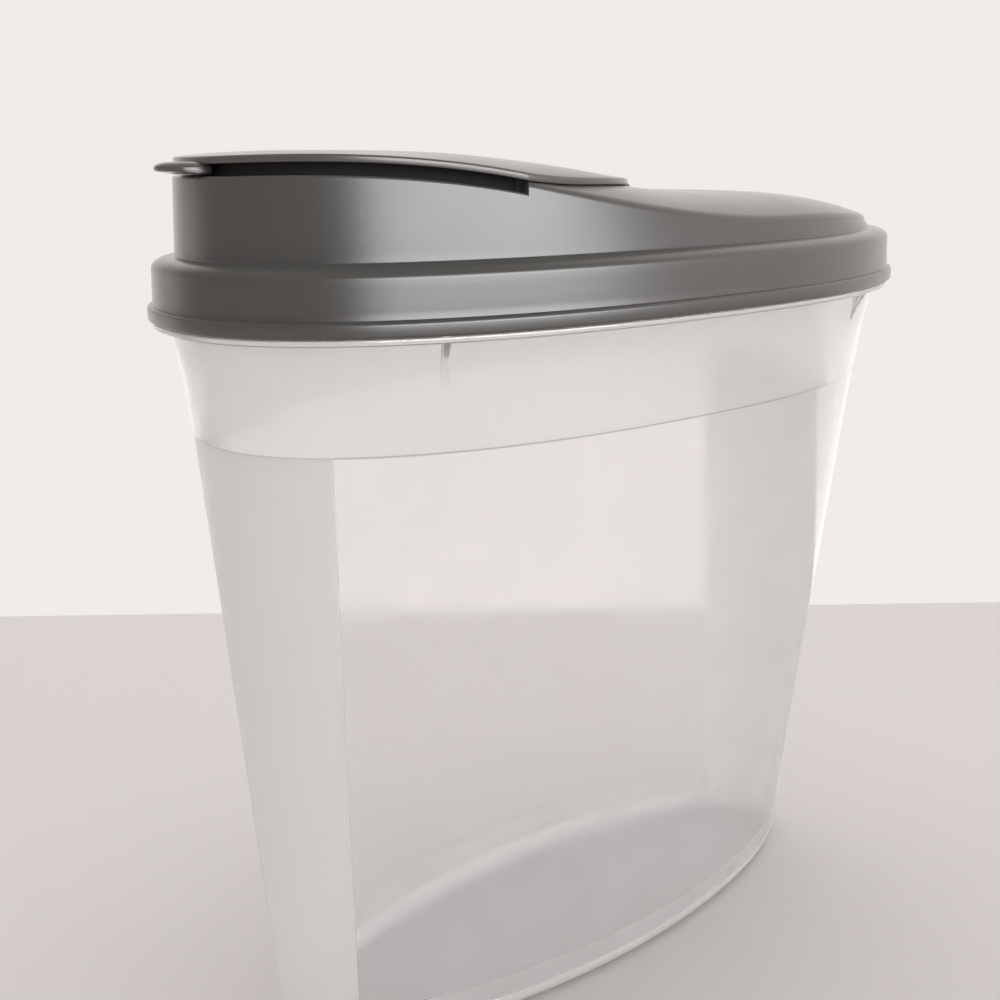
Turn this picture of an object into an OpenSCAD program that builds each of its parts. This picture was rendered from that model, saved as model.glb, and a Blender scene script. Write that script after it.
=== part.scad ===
// Cereal container with a lift-off lid and a flip spout cap.
// Real size in millimetres. The origin is the middle of the base on the table, X runs along
// the oval with the spout at -X, and Z points up.

/* [Container] */
// Length of the oval over the lid's lower bead
rim_len = 290; // [260:1:320]
// Width of the oval over the lid's lower bead
rim_wid = 156; // [146:1:172]
// Squareness of the oval at the rim, where 2 is an ellipse
rim_square = 2.4; // [2.1:0.05:2.8]
// Height of the lid's lower edge above the table
body_h = 256; // [180:1:300]
// Length of the base
base_len = 250; // [220:1:262]
// Width of the base
base_wid = 84; // [74:1:110]
// Squareness of the oval at the base
base_square = 1.85; // [1.75:0.05:2.4]
// Thickness of the container's wall
wall_t = 1.8; // [1.4:0.1:2.4]
// Thickness of the container's floor
floor_t = 2.2; // [1.6:0.1:4]
// Radius of the outer edge round the base
foot_r = 7; // [4:0.5:10]
// Depth of the fine step in the wall below the lid
step_drop = 35; // [22:1:60]
// How far the wall stands out above the fine step
step_out = 0.5; // [0.2:0.1:1]

/* [Rim] */
// Distance from the lid's bead in to the container's wall
rim_overhang = 8; // [7.4:0.1:9]
// How far the flange's edge lies inside the lid's bead
flange_in = 0.8; // [0.4:0.1:1.5]
// Thickness of the flange under the lid
flange_t = 2; // [1.5:0.1:3]
// Thickness of the collar that stands inside the lid's skirt
collar_t = 2; // [1.6:0.1:2.2]
// Height of the collar above the lid's lower edge
collar_h = 15.2; // [13:0.1:15.4]
// Distance of the gusset ribs from the middle of the long sides
rib_at = 88.5; // [60:0.5:100]
// Height of a gusset rib under the flange
rib_h = 11; // [6:0.5:16]
// Thickness of a gusset rib
rib_t = 2.6; // [1.5:0.1:4]

/* [Lid] */
// Thickness of the lid's moulding
lid_t = 2; // [1.6:0.1:2.2]
// Height of the bead round the lid's lower edge
bead_h = 4.5; // [3:0.1:6]
// How far the bead stands out from the skirt
bead_out = 1.7; // [1:0.1:2]
// Height at which the skirt turns into the shoulder
skirt_h = 15.3; // [14:0.1:15.4]
// Height of the shoulder's inner edge, where the upper wall starts
shoulder_h = 19; // [18.2:0.1:19.4]
// Distance from the bead in to the foot of the upper wall
wall_in = 9.2; // [8.2:0.1:9.8]
// How far the upper wall leans in on its way up
wall_lean = 1.5; // [0.4:0.1:2]
// Depth of the seal ring inside the collar
seal_depth = 8; // [4:0.5:11]
// Thickness of the seal ring
seal_t = 1.2; // [1:0.1:1.6]
// Height of the seat line at its highest place, near the spout
front_rise = 45; // [38:0.2:50]
// Distance from the front of the bead to that highest place
peak_in = 23; // [15:1:30]
// Radius of the seat line over the spout, seen from the side
front_curve_r = 300; // [260:5:400]
// Where the seat line starts to scoop down, ahead of the middle
scoop_front = 60; // [50:1:66]
// Where the scoop ends, behind the middle
scoop_back = 45; // [30:1:60]
// Height of the rear deck's edge at the end of the scoop
rear_rise = 25.6; // [24:0.2:30]
// Radius of the rear deck's edge, seen from the side
rear_curve_r = 850; // [700:10:1400]
// Crown of the rear deck above its edge
rear_crown = 8; // [4:0.5:9]
// Crown at the front of the spout
front_crown = 2.5; // [1:0.5:4]

/* [Pour opening] */
// Distance from the middle to the square end of the finger slot
slot_end = 62; // [50:1:72]
// Height of the finger slot between the cap's edge and the lid's wall
slot_h = 3; // [2:0.2:4]
// Depth of the gutter inside the slot, below the wall's top
gutter_depth = 3; // [2:0.2:4]
// Width of the gutter between the lid's wall and the spout's collar
gutter_w = 4; // [3:0.2:5]
// Thickness of the spout's collar
spout_t = 1.8; // [1.4:0.1:2.4]
// How far the pour opening reaches behind the end of the slot
opening_back = 35; // [25:1:42]

/* [Flip cap] */
// Thickness of the cap
cap_t = 2; // [1.6:0.1:2.4]
// How far the cap's rounded rear reaches behind the end of the slot
cap_back = 74; // [66:1:80]
// How far the cap's edge lies inside the top of the lid's wall
cap_inset = 0.5; // [0:0.1:1]
// Depth of the cap's plug in the pour opening
plug_depth = 4; // [3:0.2:5]
// Thickness of the plug's wall
plug_t = 1.5; // [1.2:0.1:2]
// How far the thumb tab reaches beyond the top of the lid's wall
tab_reach = 9.2; // [5:0.2:10]
// Radius of the thumb tab's round end
tab_r = 9; // [8:0.5:14]
// Thickness of the thumb tab
tab_t = 2.6; // [2.2:0.1:3.4]
// How far the thumb tab's underside lies below the cap's
tab_drop = 1.9; // [1.4:0.1:2]

/* [Hinge] */
// Distance of the hinge axis behind the middle of the lid
hinge_x = 7; // [4:0.5:9]
// Depth of the hinge axis under the deck
hinge_depth = 2.8; // [2.4:0.1:3.4]
// Length of the cap's hinge barrel
barrel_len = 48; // [42:1:60]
// Radius of the hinge pins
pin_r = 1.7; // [1.3:0.1:1.8]
// Length of a hinge pin beyond the barrel
pin_len = 3; // [2:0.2:4]
// How far the cap opens, in degrees
open_angle = 100; // [90:1:102]

/* [Fits] */
// Running clearance round a hinge pin
pin_gap = 0.05; // [0.02:0.01:0.1]
// Clearance between the lid's skirt or seal ring and the collar
lid_gap = 0.3; // [0.2:0.05:0.5]
// Clearance between flat faces that rest on each other
seat_gap = 0.1; // [0.05:0.05:0.3]
// Clearance between the cap and the lid under it
cap_gap = 0.3; // [0.2:0.05:0.5]

/* [Hidden] */
$fn = 64;

half_len = rim_len / 2;
half_wid = rim_wid / 2;
flange_top = body_h - seat_gap;
flange_low = flange_top - flange_t;
collar_top = body_h + collar_h;
collar_in = bead_out + lid_skirt_t() + lid_gap;
seal_in = collar_in + collar_t + lid_gap;
wall_top_in = wall_in + wall_lean;
peak_x = -half_len + peak_in;
front_n = 28;
rear_n = 44;
stations = front_n + rear_n + 2;
body_sides = 72;
// angle between the two stations at each side of the slot's square end
slot_end_step = 0.25;
edge_round = 0.6;

// Wall of the skirt, a little thinner than the lid
function lid_skirt_t() = lid_t + 0.1;

// Blend from a to b as u goes from 0 to 1
function mix(a, b, u) = a + (b - a) * u;

// The same blend with a soft start and end
function ease(u) = let (c = min(1, max(0, u))) c * c * (3 - 2 * c);

// Power that keeps the sign
function spow(v, e) = sign(v) * pow(abs(v), e);

// Point of a squared oval with half lengths a and b
function oval_pt(a, b, n, t) = [a * spow(cos(t), 2 / n), b * spow(sin(t), 2 / n)];

// Half width of the lid's wall line, a distance in from the bead, at x
function half_width_at(x, inset) =
    (half_wid - inset) * pow(1 - pow(abs(x) / (half_len - inset), rim_square), 1 / rim_square);

// Height of the seat line above the lid's lower edge, along the long sides
function front_line(x) = front_rise - (x - peak_x) * (x - peak_x) / (2 * front_curve_r);
function scoop_slope() = (scoop_front + peak_x) / front_curve_r;
function scoop_line(x) =
    let (span = scoop_front + scoop_back, u = (x + scoop_front) / span)
    mix(front_line(-scoop_front), rear_rise, u * u * (3 - 2 * u))
        + span * scoop_slope() * u * (1 - u) * (1 - u);
function rear_line(x) = rear_rise - (x - scoop_back) * (x - scoop_back) / (2 * rear_curve_r);
function seat_line(x) =
    x < -scoop_front ? front_line(x) :
    x < scoop_back ? scoop_line(x) :
    rear_line(x);

// Crown of the deck at x, full behind the pour opening
crown_front = -half_len + peak_in + 12;
crown_rear = -slot_end + opening_back;
function crown_at(x) = mix(front_crown, rear_crown, ease((x - crown_front) / (crown_rear - crown_front)));

// Height of the deck above the lid's lower edge at a point inside the wall line
function deck_z(p) =
    let (u = abs(p.x) / (half_len - wall_top_in), v = abs(p.y) / (half_wid - wall_top_in))
    let (r = min(1, pow(pow(u, rim_square) + pow(v, rim_square), 1 / rim_square)))
    seat_line(p.x) + crown_at(p.x) * (1 - pow(r, 5));

// Angle of the slot's end on the wall line, and the angle of each station round the lid
function end_angle() = acos(-pow(slot_end / (half_len - wall_top_in), rim_square / 2));
function is_front(i) = i > rear_n;
function station_angle(i) =
    is_front(i)
        ? mix(end_angle(), 360 - end_angle(), (i - rear_n - 1) / front_n)
        : mix(-end_angle() + slot_end_step, end_angle() - slot_end_step, i / rear_n);

// Points at a station: on the lid's ovals, the pour opening and the cap's outline
function rim_pt(i, inset) = oval_pt(half_len - inset, half_wid - inset, rim_square, station_angle(i));
function rear_angle(i) = mix(-90 + 2 * slot_end_step, 90 - 2 * slot_end_step, i / rear_n);
function joined_pt(i, inset, back) =
    is_front(i) ? rim_pt(i, inset) :
    let (p = oval_pt(half_len - inset, half_wid - inset, rim_square, end_angle()))
    [p.x + back * cos(rear_angle(i)), p.y * sin(rear_angle(i))];
opening_in = wall_top_in + lid_t + gutter_w + spout_t;
function opening_pt(i, inset) = joined_pt(i, opening_in + inset, opening_back - inset);
function cap_pt(i, inset) = joined_pt(i, wall_top_in + cap_inset + inset, cap_back - inset);
function between_pt(i, f) = mix(rim_pt(i, wall_top_in), opening_pt(i, 0), f);

// Rings stacked into a closed solid whose first and last ring are flat ends
module loft(rings) {
    n = len(rings[0]);
    m = len(rings);
    sides = [for (k = [0:m - 2], i = [0:n - 1], half = [0, 1]) loft_face(k, k + 1, i, (i + 1) % n, n, half)];
    low = [[for (i = [0:n - 1]) i]];
    high = [[for (i = [n - 1:-1:0]) (m - 1) * n + i]];
    polyhedron(points = [for (r = rings) each r], faces = concat(sides, low, high));
}

// Rings that close on themselves, as round a solid with a hole through it
module ring_loft(rings) {
    n = len(rings[0]);
    m = len(rings);
    polyhedron(
        points = [for (r = rings) each r],
        faces = [for (k = [0:m - 1], i = [0:n - 1], half = [0, 1]) loft_face(k, (k + 1) % m, i, (i + 1) % n, n, half)]
    );
}

// Rings between a point below and a point above
module dome_loft(low, rings, high) {
    n = len(rings[0]);
    m = len(rings);
    sides = [for (k = [0:m - 2], i = [0:n - 1], half = [0, 1]) loft_face(k, k + 1, i, (i + 1) % n, n, half)];
    low_fan = [for (i = [0:n - 1]) [m * n, i, (i + 1) % n]];
    high_fan = [for (i = [0:n - 1]) [m * n + 1, (m - 1) * n + (i + 1) % n, (m - 1) * n + i]];
    polyhedron(points = concat([for (r = rings) each r], [low, high]), faces = concat(sides, low_fan, high_fan));
}

function loft_face(k, l, i, j, n, half) =
    half == 0 ? [k * n + i, l * n + i, l * n + j] : [k * n + i, l * n + j, k * n + j];

// Outline of the container at height z, a distance in from the outer wall
function body_ring(z, inset) =
    let (u = z / flange_low)
    let (a = mix(base_len / 2, half_len - rim_overhang, u) - inset)
    let (b = mix(base_wid / 2, half_wid - rim_overhang, u) - inset)
    let (n = mix(base_square, rim_square, u))
    [for (i = [0:body_sides - 1]) let (p = oval_pt(a, b, n, 360 * i / body_sides)) [p.x, p.y, z]];

// Outline of the rim at height z, a distance in from the lid's bead
function top_ring(z, inset) =
    [for (i = [0:body_sides - 1])
        let (p = oval_pt(half_len - inset, half_wid - inset, rim_square, 360 * i / body_sides))
        [p.x, p.y, z]];

// Clear moulded tub: tapering wall, rounded base, fine step, flange, collar and gusset ribs
module container() {
    step_z = body_h - step_drop;
    fillet_r = foot_r - wall_t / 2;
    foot = [for (a = [0:18:90]) body_ring(foot_r * (1 - cos(a)), foot_r * (1 - sin(a)))];
    outer = [for (u = [0.25, 0.5, 0.75]) body_ring(step_z * u, 0)];
    inner = [for (u = [0.75, 0.5, 0.25]) body_ring(flange_low * u, wall_t)];
    floor_edge = [for (a = [90:-18:0])
        body_ring(floor_t + fillet_r * (1 - cos(a)), wall_t + fillet_r * (1 - sin(a)))];
    color([0.86, 0.9, 0.94, 0.55]) {
        loft(concat(
            foot,
            outer,
            [body_ring(step_z - step_out, 0)],
            [body_ring(step_z, -step_out)],
            [body_ring(flange_low - edge_round, -step_out)],
            [top_ring(flange_low, rim_overhang - step_out - edge_round)],
            [top_ring(flange_low, flange_in + edge_round)],
            [top_ring(flange_low + edge_round, flange_in)],
            [top_ring(flange_top - edge_round, flange_in)],
            [top_ring(flange_top, flange_in + edge_round)],
            [top_ring(flange_top, collar_in)],
            [top_ring(collar_top - edge_round, collar_in)],
            [top_ring(collar_top, collar_in + edge_round)],
            [top_ring(collar_top, collar_in + collar_t - edge_round)],
            [top_ring(collar_top - edge_round, collar_in + collar_t)],
            [top_ring(flange_top, collar_in + collar_t)],
            [top_ring(flange_top, rim_overhang + wall_t - edge_round)],
            [top_ring(flange_top - edge_round, rim_overhang + wall_t)],
            inner,
            floor_edge
        ));
        for (sx = [-1, 1], sy = [-1, 1])
            rib(sx, sy);
    }
}

// Gusset rib from the wall out under the flange, thinner towards its foot
module rib(sx, sy) {
    y = half_width_at(rib_at, rim_overhang);
    gx = pow(rib_at / half_len, rim_square - 1) / half_len;
    gy = pow(y / half_wid, rim_square - 1) / half_wid;
    reach = rim_overhang - step_out - flange_in - 2 * edge_round;
    root = wall_t + step_out / 2;
    translate([sx * rib_at, sy * y, flange_low + flange_t / 2])
        rotate([0, 0, atan2(sy * gy, sx * gx)])
            polyhedron(
                points = [
                    [-root, -rib_t / 2, 0], [reach, -rib_t / 2, 0], [reach, rib_t / 2, 0], [-root, rib_t / 2, 0],
                    [-root, -rib_t / 3, -rib_h], [0, -rib_t / 3, -rib_h],
                    [0, rib_t / 3, -rib_h], [-root, rib_t / 3, -rib_h]
                ],
                faces = [
                    [3, 2, 1, 0], [4, 5, 6, 7], [0, 1, 5], [0, 5, 4], [1, 2, 6], [1, 6, 5],
                    [2, 3, 7], [2, 7, 6], [3, 0, 4], [3, 4, 7]
                ]
            );
}

// A ring of the lid at a constant height above its lower edge
function lid_ring(inset, z) =
    [for (i = [0:stations - 1]) let (p = rim_pt(i, inset)) [p.x, p.y, body_h + z]];

// Share of the way from the wall line to the opening for ring k, in front and behind the slot
top_front = [0, 0.1, 0.18, 0.253, 0.262, 0.5, 0.765, 0.775, 0.9, 1];
top_rear = [0, 0.025, 0.06, 0.11, 0.18, 0.28, 0.42, 0.6, 0.8, 1];
under_front = [1, 0.9, 0.8, 0.7, 0.6, 0.45, 0.34];
under_rear = [1, 0.8, 0.6, 0.42, 0.28, 0.17, 0.1];
// stations over which the rings spread out behind the slot's end
spread = 7;
function ring_share(front_share, rear_share, i) =
    is_front(i) ? front_share : mix(front_share, rear_share, ease(min(i, rear_n - i) / spread));

// Heights of the lid's upper and lower faces at a point, by ring
gutter_from = 4;
spout_from = 7;
function top_z(p, k, i) =
    !is_front(i) ? deck_z(p) :
    k < gutter_from ? seat_line(p.x) - slot_h :
    k < spout_from ? seat_line(p.x) - slot_h - gutter_depth :
    deck_z(p) + cap_gap - seat_gap;
function under_z(p, i) =
    is_front(i) ? seat_line(p.x) - slot_h - gutter_depth - lid_t : deck_z(p) - lid_t;
function lid_top_ring(k) =
    [for (i = [0:stations - 1])
        let (p = between_pt(i, ring_share(top_front[k], top_rear[k], i)))
        [p.x, p.y, body_h + top_z(p, k, i)]];
function lid_under_ring(k) =
    [for (i = [0:stations - 1])
        let (p = between_pt(i, ring_share(under_front[k], under_rear[k], i)))
        [p.x, p.y, body_h + under_z(p, i)]];
function lid_inner_ring(inset) =
    [for (i = [0:stations - 1]) let (p = rim_pt(i, inset)) [p.x, p.y, body_h + under_z(p, i)]];

// Lid: beaded skirt, shoulder, upper wall, spout collar, scooped rear deck and hinge trough
module lid() {
    skirt_in = bead_out + lid_skirt_t();
    shelf = collar_h + seat_gap;
    color([0.36, 0.36, 0.34])
        difference() {
            union() {
                ring_loft(concat(
                    [lid_ring(skirt_in, edge_round)],
                    [lid_ring(skirt_in - edge_round, 0)],
                    [lid_ring(edge_round, 0)],
                    [lid_ring(0, edge_round)],
                    [lid_ring(0, bead_h - edge_round)],
                    [lid_ring(edge_round, bead_h)],
                    [lid_ring(bead_out, bead_h + 0.2)],
                    [lid_ring(bead_out + 0.5, skirt_h)],
                    [lid_ring(mix(bead_out + 0.5, wall_in, 0.08), mix(skirt_h, shoulder_h, 0.4))],
                    [lid_ring(mix(bead_out + 0.5, wall_in, 0.26), mix(skirt_h, shoulder_h, 0.7))],
                    [lid_ring(mix(bead_out + 0.5, wall_in, 0.52), mix(skirt_h, shoulder_h, 0.87))],
                    [lid_ring(mix(bead_out + 0.5, wall_in, 0.86), shoulder_h - 0.2)],
                    [lid_ring(wall_in, shoulder_h + 0.5)],
                    [for (k = [0:len(top_front) - 1]) lid_top_ring(k)],
                    [for (k = [0:len(under_front) - 1]) lid_under_ring(k)],
                    [lid_inner_ring(wall_top_in + lid_t)],
                    [lid_ring(wall_in + lid_t, shoulder_h - 1)],
                    [lid_ring(seal_in + seal_t + 0.8, shelf + 0.3)],
                    [lid_ring(seal_in + seal_t, shelf - 1)],
                    [lid_ring(seal_in + seal_t - 0.3, shelf - seal_depth)],
                    [lid_ring(seal_in + 0.3, shelf - seal_depth)],
                    [lid_ring(seal_in, shelf - 1)],
                    [lid_ring(seal_in, shelf)],
                    [lid_ring(skirt_in, shelf)]
                ));
                hinge_frame()
                    trough_housing();
            }
            hinge_frame()
                trough_cut();
            translate([hinge_x, 0, hinge_z])
                rotate([90, 0, 0])
                    cylinder(r = pin_r + pin_gap, h = barrel_len + 2 * (pin_len + 2 * cap_gap), center = true);
        }
}

// The hinge axis, and the slope of the deck there
barrel_r = hinge_depth + cap_gap + cap_t;
trough_r = barrel_r + cap_gap;
trough_len = barrel_len + 2 * cap_gap;
housing_len = trough_len + 2 * (pin_len + cap_gap + lid_t);
hinge_z = body_h + deck_z([hinge_x, 0]) - hinge_depth;
hinge_tilt = atan(deck_z([hinge_x - 0.5, 0]) - deck_z([hinge_x + 0.5, 0]));
module hinge_frame() {
    translate([hinge_x, 0, hinge_z])
        rotate([0, hinge_tilt, 0])
            children();
}

// Material under the deck that holds the trough and the two bores
module trough_housing() {
    r = trough_r + lid_t;
    skin = hinge_depth - lid_t / 2;
    rotate([90, 0, 0])
        linear_extrude(height = housing_len, center = true) {
            intersection() {
                circle(r = r);
                translate([-r, -r])
                    square([2 * r, r]);
            }
            translate([-r, -0.01])
                square([2 * r, skin + 0.01]);
        }
}

// Round trough for the barrel, and the room that the opened cap leans into
module trough_cut() {
    room_len = barrel_len + cap_gap;
    rotate([90, 0, 0])
        cylinder(r = trough_r, h = trough_len, center = true);
    rotate([0, open_angle, 0])
        translate([-3 * barrel_r, -room_len / 2, 0])
            cube([3 * barrel_r, room_len, barrel_r + cap_gap / 2]);
}

// Height of the cap's underside above the lid's lower edge
function cap_low(p) = deck_z(p) + cap_gap;
function cap_ring(inset, rise) =
    [for (i = [0:stations - 1]) let (p = cap_pt(i, inset)) [p.x, p.y, body_h + cap_low(p) + rise]];
function plug_ring(inset, rise) =
    [for (i = [0:stations - 1]) let (p = opening_pt(i, inset)) [p.x, p.y, body_h + cap_low(p) + rise]];
cap_mid = [-slot_end, 0];
function cap_share_ring(f, rise) =
    [for (i = [0:stations - 1])
        let (p = mix(cap_mid, cap_pt(i, 0), f))
        [p.x, p.y, body_h + cap_low(p) + rise]];
function plug_share_ring(f, inset) =
    [for (i = [0:stations - 1])
        let (p = mix(cap_mid, opening_pt(i, inset), f))
        [p.x, p.y, body_h + cap_low(p)]];

// Flip cap: domed panel with a thumb tab, a plug for the pour opening and a hinge barrel
module flip_cap() {
    mid_low = [cap_mid.x, cap_mid.y, body_h + cap_low(cap_mid)];
    plug_in = cap_gap + 0.1;
    plug_taper = 0.6;
    color([0.44, 0.43, 0.42]) {
        difference() {
            dome_loft(
                mid_low,
                [
                    plug_share_ring(0.4, plug_in + plug_t),
                    plug_share_ring(0.75, plug_in + plug_t),
                    plug_ring(plug_in + plug_t, 0),
                    plug_ring(plug_in + plug_t + plug_taper / 3, -plug_depth),
                    plug_ring(plug_in + plug_taper, -plug_depth),
                    plug_ring(plug_in, -plug_depth / 3),
                    plug_ring(plug_in, 0),
                    cap_ring(lid_t + gutter_w - cap_inset, 0),
                    cap_ring(edge_round / 2, 0),
                    cap_ring(0, edge_round / 2),
                    cap_ring(0, cap_t - edge_round),
                    cap_ring(edge_round / 3, cap_t - edge_round / 3),
                    cap_ring(edge_round, cap_t),
                    cap_share_ring(0.93, cap_t),
                    cap_share_ring(0.82, cap_t),
                    cap_share_ring(0.66, cap_t),
                    cap_share_ring(0.44, cap_t),
                    cap_share_ring(0.22, cap_t)
                ],
                mid_low + [0, 0, cap_t]
            );
            translate([hinge_x, -half_wid, body_h])
                cube([cap_back, rim_wid, 2 * front_rise]);
            for (s = [-1, 1])
                translate([hinge_x - barrel_r, s * barrel_len / 2 - (s < 0 ? half_wid : 0), body_h])
                    cube([cap_back, half_wid, 2 * front_rise]);
        }
        translate([hinge_x, 0, hinge_z])
            rotate([90, 0, 0]) {
                cylinder(r = barrel_r, h = barrel_len, center = true);
                cylinder(r = pin_r, h = barrel_len + 2 * pin_len, center = true);
            }
        thumb_tab();
    }
}

// Round-ended tab that overhangs the front of the lid's wall and is rooted under the cap's edge
module thumb_tab() {
    front = -half_len + wall_top_in;
    tip = front - tab_reach;
    root = lid_t + gutter_w / 2;
    low = body_h + cap_low([front + cap_inset, 0]) - tab_drop;
    soft = tab_t / 3;
    intersection() {
        translate([tip + tab_r, 0, low])
            rotate_extrude()
                polygon([
                    [0, 0], [tab_r - soft, 0], [tab_r - soft / 3, soft / 3], [tab_r, soft],
                    [tab_r - soft / 3, 2 * soft], [tab_r - 2 * soft, tab_t - soft / 3],
                    [tab_r - 4 * soft, tab_t], [0, tab_t]
                ]);
        translate([tip - 1, -tab_r, low])
            cube([tab_reach + root + 1, 2 * tab_r, tab_t]);
    }
}

container();
lid();
flip_cap();
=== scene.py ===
import math

import bpy
import numpy as np
from mathutils import Matrix


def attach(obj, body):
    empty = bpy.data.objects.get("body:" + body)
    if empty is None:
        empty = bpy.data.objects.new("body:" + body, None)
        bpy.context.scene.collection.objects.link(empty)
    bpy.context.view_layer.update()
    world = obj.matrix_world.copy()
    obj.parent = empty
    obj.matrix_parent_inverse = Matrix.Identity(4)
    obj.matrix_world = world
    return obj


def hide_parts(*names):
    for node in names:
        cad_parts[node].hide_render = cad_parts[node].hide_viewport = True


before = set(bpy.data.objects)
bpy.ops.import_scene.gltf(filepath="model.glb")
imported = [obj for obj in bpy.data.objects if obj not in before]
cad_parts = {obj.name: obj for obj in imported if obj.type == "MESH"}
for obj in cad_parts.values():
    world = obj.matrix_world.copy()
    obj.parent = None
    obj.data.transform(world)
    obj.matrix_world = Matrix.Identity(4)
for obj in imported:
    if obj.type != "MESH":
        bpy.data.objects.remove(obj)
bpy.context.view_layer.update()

# Container. One injection moulding in natural polypropylene, 1.8 mm thick, that tapers to a
# narrower rounded foot. The mould is textured at both ends and on the floor, and polished in a
# panel on each long side. A flange and a standing collar carry the lid, with four small gussets.
MM = 0.001
half_len, half_wid, rim_power = 145.0, 78.0, 2.4
lid_low = 256.0
foot_half_len, foot_half_wid, foot_power = 125.0, 42.0, 1.85
wall_t, floor_t, foot_r = 1.8, 2.2, 7.0
step_z, step_out, band_z = 221.0, 0.5, 238.0
recess_in, recess_h = 13.0, 0.6
rim_overhang, flange_in = 8.0, 0.8
flange_top, flange_low = 255.9, 253.9
collar_in, collar_t, collar_top = 4.1, 2.0, 271.2
edge_r, flange_fillet, flange_root_r = 0.6, 0.4, 0.8
gusset_at, gusset_h, gusset_t = 88.5, 11.0, 2.6
gusset_tip, gusset_reach, gusset_power, gusset_lift = 0.25, 5.2, 5, 0.9
sharp_angle = 38


def squared_oval(length, width, power, turn):
    """Squared oval: x is the half length times the cosine of the turn to the power 2 / power, and y
    is the half width times its sine to the same power, each keeping its sign."""
    c, s = np.cos(turn), np.sin(turn)
    x = length * np.sign(c) * np.abs(c) ** (2 / power)
    y = width * np.sign(s) * np.abs(s) ** (2 / power)
    return x, y


def rim_oval(inset, turn):
    """The rim's squared oval, with its half length and half width less the inset."""
    return squared_oval(half_len - inset, half_wid - inset, rim_power, turn)


def full_turn(count):
    """Angles of a full turn in radians: count even steps of 2 pi / count from 0."""
    return np.linspace(0, 2 * math.pi, count, endpoint=False)


def arc(inset, height, radius, first, last, count):
    """Arc of a profile: the centre (inset, height) plus the radius times the cosine and sine of angles
    from first to last, in degrees."""
    a = np.radians(np.linspace(first, last, count))
    return np.stack([inset + radius * np.cos(a), height + radius * np.sin(a)], 1)


def tub_wall(profile, turn):
    """Rings of the tapering wall: at height z the half length, half width and power run straight
    from the foot's to the rim's in the share z / flange height, less the profile's inset."""
    inset, z = profile[:, :1], profile[:, 1:]
    u = z / flange_low
    length = foot_half_len + (half_len - rim_overhang - foot_half_len) * u - inset
    width = foot_half_wid + (half_wid - rim_overhang - foot_half_wid) * u - inset
    x, y = squared_oval(length, width, foot_power + (rim_power - foot_power) * u, turn)
    return np.stack([x, y, np.broadcast_to(z, x.shape)], 2)


def rim_rings(profile, turn):
    """Level rings: the rim's oval drawn in by each profile point's inset, at its height."""
    inset, z = profile[:, :1], profile[:, 1:]
    x, y = rim_oval(inset, turn)
    return np.stack([x, y, np.broadcast_to(z, x.shape)], 2)


def add_object(name, data):
    """An object that shows the data, linked to the scene."""
    made = bpy.data.objects.new(name, data)
    bpy.context.scene.collection.objects.link(made)
    return made


def skin(name, rings, low=None, high=None):
    """Closed mesh over rings of equal count: face (k, i) joins ring k to ring k + 1 and point i to
    point i + 1, the last point to the first. A fan joins the end rings to the points low and high.
    Without them the last ring joins the first."""
    m, n = rings.shape[:2]
    i = np.arange(n)
    j = (i + 1) % n
    k = np.arange(m if low is None else m - 1)[:, None]
    up = (k + 1) % m
    faces = np.stack([k * n + i, k * n + j, up * n + j, up * n + i], 2).reshape(-1, 4).tolist()
    points = rings.reshape(-1, 3)
    if low is not None:
        points = np.concatenate([points, [low, high]])
        faces += np.stack([np.full(n, m * n), j, i], 1).tolist()
        faces += np.stack([np.full(n, m * n + 1), (m - 1) * n + i, (m - 1) * n + j], 1).tolist()
    mesh = bpy.data.meshes.new(name)
    mesh.from_pydata((points * MM).tolist(), [], faces)
    return add_object(name, mesh)


def skin_ends(name, rings):
    """Closed mesh over rings, with a fan at each end to the middle of its ring."""
    return skin(name, rings, rings[0].mean(0), rings[-1].mean(0))


def join_solids(piece, operation, *tools):
    """Boolean of the piece with each tool in turn, applied to its mesh. The tools are removed."""
    for tool in tools:
        step = piece.modifiers.new(operation, "BOOLEAN")
        step.operation, step.solver, step.object = operation, "MANIFOLD", tool
    bpy.context.view_layer.update()
    graph = bpy.context.evaluated_depsgraph_get()
    made = bpy.data.meshes.new_from_object(piece.evaluated_get(graph))
    piece.modifiers.clear()
    piece.data = made
    for tool in tools:
        bpy.data.objects.remove(tool)


def finish_piece(piece, material, body, node):
    """Smooth shading up to the sharp angle, then the material, body and node."""
    piece.data.shade_smooth()
    piece.data.set_sharp_from_angle(angle=math.radians(sharp_angle))
    piece.data.materials.clear()
    piece.data.materials.append(material)
    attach(piece, body)
    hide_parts(node)


def to_linear(code):
    """sRGB hex to linear: c / 12.92 up to 0.04045, and ((c + 0.055) / 1.055) ^ 2.4 above it."""
    c = np.array([int(code[k:k + 2], 16) for k in (1, 3, 5)]) / 255
    return (*np.where(c <= 0.04045, c / 12.92, ((c + 0.055) / 1.055) ** 2.4), 1.0)


def add_node(tree, kind, inputs=(), **settings):
    """One node with its settings, and its inputs by name or number. A socket is linked."""
    made = tree.nodes.new(kind)
    for name, value in settings.items():
        setattr(made, name, value)
    for key, value in dict(inputs).items():
        if isinstance(value, bpy.types.NodeSocket):
            tree.links.new(value, made.inputs[key])
        else:
            made.inputs[key].default_value = value
    return made


def add_math(tree, operation, *values):
    """The result of a Math node on its values."""
    return add_node(tree, "ShaderNodeMath", dict(enumerate(values)), operation=operation).outputs[0]


def add_range(tree, value, low, high, first=0.0, last=1.0, **settings):
    """The value's place between low and high, as a number from first to last."""
    inputs = {0: value, 1: low, 2: high, 3: first, 4: last}
    return add_node(tree, "ShaderNodeMapRange", inputs, **settings).outputs[0]


def add_mix(tree, share, first, last):
    """A number from first to last by a share."""
    return add_node(tree, "ShaderNodeMix", {0: share, 2: first, 3: last}).outputs[0]


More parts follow.
